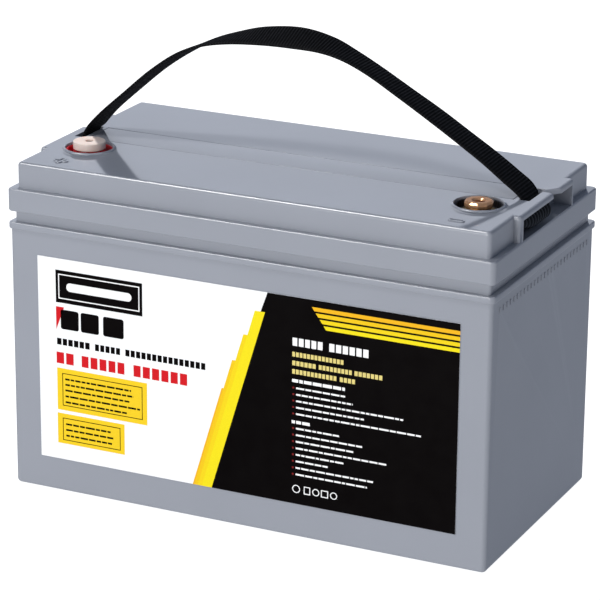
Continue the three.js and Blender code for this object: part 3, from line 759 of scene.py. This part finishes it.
def build_terminal_cap():
    inner = TERMINAL_RADIUS + FIT
    outer = inner + 1
    profile = filleted([
        (inner, CAP_SKIRT, 0.2), (outer, CAP_SKIRT, 0.35), (outer, CAP_TOP, 0.5),
        (CAP_HOLE, CAP_TOP, 0.5), (CAP_HOLE, TERMINAL_TOP + FIT, 0.2),
        (inner, TERMINAL_TOP + FIT, 0.3),
    ], 6)
    mesh = turned_mesh("terminal_cap", profile, POSITIVE_AXIS)
    piece = finished("terminal_cap", mesh, WHITE)
    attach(piece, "terminal_cap")
    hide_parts("positive_terminal_cap")


def build_terminals():
    build_cup("positive", POSITIVE_AXIS, RED, seated=True)
    build_cup("negative", NEGATIVE_AXIS, BLACK)
    build_insert("positive", POSITIVE_AXIS, COPPER_POSITIVE)
    build_insert("negative", NEGATIVE_AXIS, COPPER)
    build_well_rim("positive", POSITIVE_AXIS)
    build_well_rim("negative", NEGATIVE_AXIS)
    build_brass_ring()
    build_terminal_cap()


# ==================================================================================
# Carry handle
# ==================================================================================

def hermite(first, second, leave, arrive, share):
    """The cubic from first to second that leaves and arrives along two tangents."""
    rest = share - 1
    return (first * (1 + 2 * share) * rest * rest + leave * share * rest * rest
            + second * share * share * (3 - 2 * share) + arrive * share * share * rest)


def neighbours(values, place):
    """The four values round a place along a list, and the share of the way between."""
    index = min(int(place), len(values) - 2)
    first, second = values[index], values[index + 1]
    before = values[index - 1] if index else first * 2 - second
    last = index + 2 >= len(values)
    after = second * 2 - first if last else values[index + 2]
    return before, first, second, after, place - index


def centripetal(points, place):
    """A centripetal Catmull-Rom curve, as three.js draws it."""
    before, first, second, after, share = neighbours(points, place)
    gap_before = math.sqrt((first - before).length)
    gap = math.sqrt((second - first).length)
    gap_after = math.sqrt((after - second).length)
    leave = ((first - before) / gap_before - (second - before) / (gap_before + gap)
             + (second - first) / gap) * gap
    arrive = ((second - first) / gap - (after - first) / (gap + gap_after)
              + (after - second) / gap_after) * gap
    return hermite(first, second, leave, arrive, share)


def strap_stations():
    """Places along the webbing, evenly spaced, each with its centre and its frame."""
    points = [Vector(row[:3]) for row in STRAP_LINE]
    twists = [row[3] for row in STRAP_LINE]
    fine = 60
    last = len(points) - 1
    samples = [centripetal(points, index / fine) for index in range(last * fine + 1)]
    lengths = [0.0]
    for here, there in zip(samples, samples[1:]):
        lengths.append(lengths[-1] + (there - here).length)
    count = round(lengths[-1] / RIB_PITCH) * STATIONS_PER_RIB
    stations = []
    index = 0
    for station in range(count + 1):
        target = lengths[-1] * station / count
        while index < len(samples) - 2 and lengths[index + 1] < target:
            index += 1
        share = (target - lengths[index]) / (lengths[index + 1] - lengths[index])
        place = (index + share) / fine
        centre = centripetal(points, min(place, last))
        tangent = (samples[index + 1] - samples[index]).normalized()
        before, first, second, after, part = neighbours(twists, min(place, last))
        twist = hermite(first, second, (second - before) / 2, (after - first) / 2, part)
        outward = Vector((-tangent.z, 0, tangent.x)).normalized()
        turn = math.radians(twist)
        across = Vector((0, math.cos(turn), 0)) + outward * math.sin(turn)
        stations.append((target, centre, across, tangent.cross(across).normalized()))
    return stations


def strap_section(along):
    """Half an outline across the webbing, as (offset across, half thickness) pairs."""
    rib = 0.5 + 0.5 * math.cos(math.tau * along / RIB_PITCH)
    half_width = STRAP_WIDTH / 2
    ribbed = half_width - SELVEDGE
    full = STRAP_THICK / 2
    low = full - RIB_DEPTH * (1 - rib)
    section = [(-half_width, EDGE_HALF)]
    section += [(-half_width + inset, full * share) for inset, share in SELVEDGE_OUTLINE]
    section += [(-ribbed, full - RIB_DEPTH), (-ribbed + 0.5, low), (-ribbed / 2, low)]
    return section + [(0, low)] + [(-offset, half) for offset, half in reversed(section)]


def build_strap():
    """The webbing in one strip: it sits in the case's slots and bends above."""
    points = []
    faces = []
    weave = []
    stations = strap_stations()
    for along, centre, across, normal in stations:
        section = strap_section(along)
        ring = [(offset, half) for offset, half in section]
        ring += [(offset, -half) for offset, half in reversed(section)]
        for offset, half in ring:
            points.append(centre + across * offset + normal * half)
            weave.append((along * MM, offset * MM, half * MM))
    size = len(points) // len(stations)
    for station in range(len(stations) - 1):
        for index in range(size):
            after = (index + 1) % size
            low, high = station * size, (station + 1) * size
            faces.append([low + index, low + after, high + after, high + index])
    faces.append(list(range(size)))
    faces.append(list(range(len(points) - size, len(points))))
    mesh = new_mesh("webbing_strap", points, faces)
    layer = mesh.attributes.new("weave", "FLOAT_VECTOR", "POINT")
    layer.data.foreach_set("vector", [number for row in weave for number in row])
    piece = finished("webbing_strap", mesh, WEBBING, 60)
    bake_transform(piece)
    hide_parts("handle_strap", "strap_end_left", "strap_end_right")


def toggle_swell(along):
    """How thick the toggle is, from its thin front end to its full back end."""
    rise = math.sin(min(1, 2 * along + 0.05) * math.pi / 2)
    return TOGGLE_THIN + (1 - TOGGLE_THIN) * rise


def build_toggle(side):
    """The ribbed bar in an end pocket, which the webbing's end is looped round."""
    low, high = (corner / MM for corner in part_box(f"handle_toggle_{side}"))
    half_width = (high.x - low.x) / 2
    half_height = (high.z - low.z) / 2
    middle = (low.x + high.x) / 2
    length = high.y - low.y
    rings = 8 * TOGGLE_RIBS + 1
    points = []
    faces = []
    for index in range(rings):
        along = index / (rings - 1)
        swell = toggle_swell(along)
        rib = abs(math.sin(math.pi * TOGGLE_RIBS * along))
        reach = swell * (1 - TOGGLE_RIB_DEPTH * (1 - rib))
        from_end = min(along, 1 - along) * length
        if from_end < TOGGLE_END_ROUND:
            reach *= 1 - TOGGLE_END_TAPER * (1 - from_end / TOGGLE_END_ROUND)
        for corner in range(TOGGLE_SIDES):
            across, up = on_circle(reach, math.tau * corner / TOGGLE_SIDES)
            drop = (swell - up) * half_height
            points.append((middle + across * half_width, low.y + along * length, high.z - drop))
    for index in range(rings - 1):
        for corner in range(TOGGLE_SIDES):
            after = (corner + 1) % TOGGLE_SIDES
            near, far = index * TOGGLE_SIDES, (index + 1) * TOGGLE_SIDES
            faces.append([near + corner, near + after, far + after, far + corner])
    faces.append(list(range(TOGGLE_SIDES)))
    faces.append(list(range(len(points) - TOGGLE_SIDES, len(points))))
    mesh = new_mesh(f"toggle_{side}", points, faces)
    piece = finished(f"toggle_{side}", mesh, TOGGLE_BLACK, 60)
    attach(piece, "case")
    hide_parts(f"handle_toggle_{side}")


def build_handle():
    build_strap()
    build_toggle("left")
    build_toggle("right")


# ==================================================================================
# Front label: print on film, with plain bars where the text would be
# ==================================================================================

def rectangle(x0, z0, x1, z1):
    return [(x0, z0), (x1, z0), (x1, z1), (x0, z1)]


def rounded(x0, z0, x1, z1, radius):
    corners = [(x, z, radius) for x, z in rectangle(x0, z0, x1, z1)]
    return [tuple(point) for point in filleted(corners)]


def outlined(x0, z0, x1, z1, width):
    """The four strokes of a rectangular outline."""
    return [rectangle(x0, z0, x1, z0 + width), rectangle(x0, z1 - width, x1, z1),
            rectangle(x0, z0 + width, x0 + width, z1 - width),
            rectangle(x1 - width, z0 + width, x1, z1 - width)]


def ring(x, z, radius, width, sides=20):
    """A round outline, as a row of short strokes."""
    strokes = []
    for side in range(sides):
        start, end = (math.tau * (side + step) / sides for step in (0, 1))
        inner, outer = radius - width, radius
        strokes.append([(x + on_circle(reach, angle)[0], z + on_circle(reach, angle)[1])
                        for reach, angle in ((inner, start), (outer, start),
                                             (outer, end), (inner, end))])
    return strokes


def word(x0, x1, z0, z1):
    """A plain row of blocks that stands for a word."""
    height = z1 - z0
    count = max(1, round((x1 - x0) / (BLOCK_PITCH * height)))
    pitch = (x1 - x0) / count
    gap = BLOCK_GAP * height
    return [rectangle(x0 + index * pitch, z0, x0 + (index + 1) * pitch - gap, z1)
            for index in range(count)]


def words(row, z0, z1):
    return [bar for x0, x1 in row for bar in word(x0, x1, z0, z1)]


def small_print(draw, x0, x1, z, height):
    """A fine row of bars of uneven length that stands for a line of small print."""
    bars = []
    x = x0
    while x < x1:
        end = min(x + draw.uniform(*BAR_LENGTHS), x1)
        bars.append(rectangle(x, z - height / 2, end, z + height / 2))
        x = end + BAR_GAP
    return bars


def stair_x(z):
    """The slanted edge between the stairs and the black half."""
    return STAIR_FOOT + STAIR_SLANT * (z - LABEL_BOTTOM)


def build_print(name, layer, ink, outlines):
    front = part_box("front_label")[0].y / MM
    points = []
    faces = []
    for outline in outlines:
        prism(points, faces, outline, front - layer * INK_STEP, front + INK_SUNK)
    mesh = new_mesh(name, points, faces)
    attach(finished(name, mesh, ink), "case")


def label_grounds(inks):
    """The black half, the yellow stairs and the stripes."""
    panel = [*PANEL_NOTCH, (stair_x(LABEL_BOTTOM), LABEL_BOTTOM),
             (LABEL_HALF, LABEL_BOTTOM), (LABEL_HALF, LABEL_TOP)]
    build_print("label_black_half", 1, inks["black"], [panel])
    for index, top in enumerate(STAIR_TOPS):
        right, left = STAIR_OFFSETS[index], STAIR_OFFSETS[index + 1]
        step = [(stair_x(top) - left, top), (stair_x(top) - right, top),
                (stair_x(LABEL_BOTTOM) - right, LABEL_BOTTOM),
                (stair_x(LABEL_BOTTOM) - left, LABEL_BOTTOM)]
        build_print(f"label_stair_{index + 1}", 2, inks[f"stair_{index + 1}"], [step])
    for index in range(4):
        high = STRIPE_TOP - STRIPE_PITCH * index
        low = high - STRIPE_HEIGHT
        left = STRIPE_LEFT + STRIPE_STAGGER * index
        stripe = [(left, high), (LABEL_HALF, high), (LABEL_HALF, low),
                  (left + STRIPE_SLANT, low)]
        build_print(f"label_stripe_{index + 1}", 2, inks[f"stair_{4 - index}"], [stripe])


def label_nameplate(inks):
    """A blank plate with a thin border, a plain bar and a red flash."""
    build_print("label_plate", 1, inks["black"], [rectangle(*PLATE)])
    build_print("label_plate_border", 2, inks["white"],
                outlined(*PLATE_BORDER, PLATE_STROKE) + [rounded(*PLATE_BAR, PLATE_BAR_ROUND)])
    build_print("label_flash", 1, inks["red"], [FLASH])


def label_left_text(inks):
    low, high = HEADING_HEIGHTS
    build_print("label_heading", 1, inks["black"],
                [rounded(x0, low, x1, high, HEADING_ROUND) for x0, x1 in HEADING_BLOCKS])
    build_print("label_line", 1, inks["black"], words(LINE_WORDS, *LINE_HEIGHTS))
    build_print("label_ratings", 1, inks["red"], words(RATING_WORDS, *RATING_HEIGHTS))


def label_boxes(inks, draw):
    """Two yellow boxes of small print."""
    build_print("label_boxes", 1, inks["yellow"],
                [rectangle(*UPPER_BOX), rectangle(*LOWER_BOX)])
    build_print("label_box_borders", 2, inks["black"],
                outlined(*UPPER_BORDER, BOX_STROKE) + outlined(*LOWER_BORDER, BOX_STROKE))
    bars = []
    for z, end in BOX_TEXT:
        bars += small_print(draw, BOX_TEXT_LEFT, end, z, BOX_TEXT_HEIGHT)
    build_print("label_box_print", 2, inks["black"], bars)


def label_right_text(inks, draw):
    build_print("label_right_heading", 2, inks["white"],
                words(RIGHT_HEADING, *RIGHT_HEADING_HEIGHTS))
    build_print("label_right_lines", 2, inks["pale_yellow"],
                [bar for z, row in RIGHT_LINES
                 for bar in words(row, z - TEXT_HALF, z + TEXT_HALF)])
    bars = small_print(draw, *TIPS_HEADING) + small_print(draw, *CAUTIONS_HEADING)
    marks = []
    for top, pitch, ends, (foot, head) in (
            (TIP_TOP, TIP_PITCH, TIP_ENDS, TIP_MARK),
            (CAUTION_TOP, CAUTION_PITCH, CAUTION_ENDS, CAUTION_MARK)):
        for row, end in enumerate(ends):
            z = top - pitch * row
            bars += small_print(draw, ROW_LEFT, end, z, ROW_HEIGHT)
            marks.append(rectangle(MARK_LEFT, z + foot, MARK_RIGHT, z + head))
    build_print("label_right_print", 2, inks["white"], bars)
    build_print("label_marks", 2, inks["dull_red"], marks)


def label_icons(inks):
    """A row of plain outlines."""
    strokes = []
    for x, radius in ROUND_ICONS:
        strokes += ring(x, ICON_Z, radius, ICON_STROKE)
    for x0, x1, half in SQUARE_ICONS:
        strokes += outlined(x0, ICON_Z - half, x1, ICON_Z + half, ICON_STROKE)
    build_print("label_icons", 2, inks["white"], strokes)


def build_label():
    draw = random.Random(SEED)
    inks = {
        "black": printed_ink("ink_black", (0.0014, 0.0007, 0.0006)),
        "white": printed_ink("ink_white", (0.74, 0.74, 0.74)),
        "red": printed_ink("ink_red", (0.5, 0.009, 0.014)),
        "dull_red": printed_ink("ink_dull_red", (0.16, 0.012, 0.012)),
        "yellow": printed_ink("ink_yellow", (0.7, 0.48, 0.016)),
        "pale_yellow": printed_ink("ink_pale_yellow", (0.6, 0.5, 0.17)),
        "stair_1": printed_ink("ink_stair_1", (0.7, 0.58, 0.01)),
        "stair_2": printed_ink("ink_stair_2", (0.7, 0.52, 0.01)),
        "stair_3": printed_ink("ink_stair_3", (0.7, 0.45, 0.01)),
        "stair_4": printed_ink("ink_stair_4", (0.7, 0.37, 0.012)),
    }
    label_grounds(inks)
    label_nameplate(inks)
    label_left_text(inks)
    label_boxes(inks, draw)
    label_right_text(inks, draw)
    label_icons(inks)


# ==================================================================================
# Camera, floor and light
# ==================================================================================

def build_camera():
    data = bpy.data.cameras.new("camera")
    data.lens = CAMERA_LENS
    data.clip_end = 50
    camera = bpy.data.objects.new("camera", data)
    bpy.context.scene.collection.objects.link(camera)
    turn = (Matrix.Rotation(math.radians(CAMERA_AZIMUTH), 4, "Z")
            @ Matrix.Rotation(math.radians(90 - CAMERA_ELEVATION), 4, "X")
            @ Matrix.Rotation(math.radians(CAMERA_ROLL), 4, "Z"))
    camera.matrix_world = Matrix.Translation(CAMERA_PLACE) @ turn
    bpy.context.scene.camera = camera


def build_floor():
    corners = [(-1, -1), (1, -1), (1, 1), (-1, 1)]
    reach = FLOOR_HALF / MM
    points = [(x * reach, y * reach, -FLOOR_DROP) for x, y in corners]
    mesh = new_mesh("floor", points, [[0, 1, 2, 3]])
    material, _, main = shader("floor", (FLOOR_GREY, FLOOR_GREY, FLOOR_GREY), 0.9)
    main.inputs["Specular IOR Level"].default_value = 0
    main.inputs["Emission Color"].default_value = (*FLOOR_TINT, 1)
    main.inputs["Emission Strength"].default_value = FLOOR_GLOW
    mesh.materials.append(material)
    floor = bpy.data.objects.new("floor", mesh)
    bpy.context.scene.collection.objects.link(floor)
    floor.visible_glossy = False


def area_light(name, azimuth, elevation, distance, size, power, glare=True, fill=True):
    """A soft box that faces the battery from that side: azimuth 0 is the front. Without
    glare it lights the battery, but isn't mirrored in it; without fill it's only
    mirrored."""
    data = bpy.data.lights.new(name, "AREA")
    data.shape = "SQUARE"
    data.size = size
    data.energy = power
    data.color = NEUTRAL
    light = bpy.data.objects.new(name, data)
    bpy.context.scene.collection.objects.link(light)
    side, rise = math.radians(azimuth), math.radians(elevation)
    away = Vector((math.sin(side) * math.cos(rise), -math.cos(side) * math.cos(rise),
                   math.sin(rise)))
    light.location = Vector(AIM) + away * distance
    light.rotation_mode = "QUATERNION"
    light.rotation_quaternion = (-away).to_track_quat("-Z", "Y")
    light.visible_glossy = glare
    light.visible_diffuse = fill


def build_light():
    world = bpy.data.worlds.new("studio")
    world.use_nodes = True
    background = world.node_tree.nodes["Background"]
    background.inputs["Color"].default_value = (*SKY, 1)
    background.inputs["Strength"].default_value = SKY_STRENGTH
    bpy.context.scene.world = world
    area_light("back_left", azimuth=204.5, elevation=21.5, distance=6.0, size=0.14,
               power=1120, glare=False)
    area_light("front", azimuth=-3, elevation=10, distance=2.5, size=0.7, power=41)
    area_light("overhead", azimuth=-50, elevation=58, distance=3.0, size=0.5, power=32,
               glare=False)
    area_light("glint", azimuth=-50, elevation=58, distance=3.0, size=0.6, power=85,
               fill=False)
    bpy.context.scene.view_settings.view_transform = "Standard"


build_camera()
build_light()
build_floor()
dress_cad_nodes()
build_case()
build_terminals()
build_handle()
build_label()
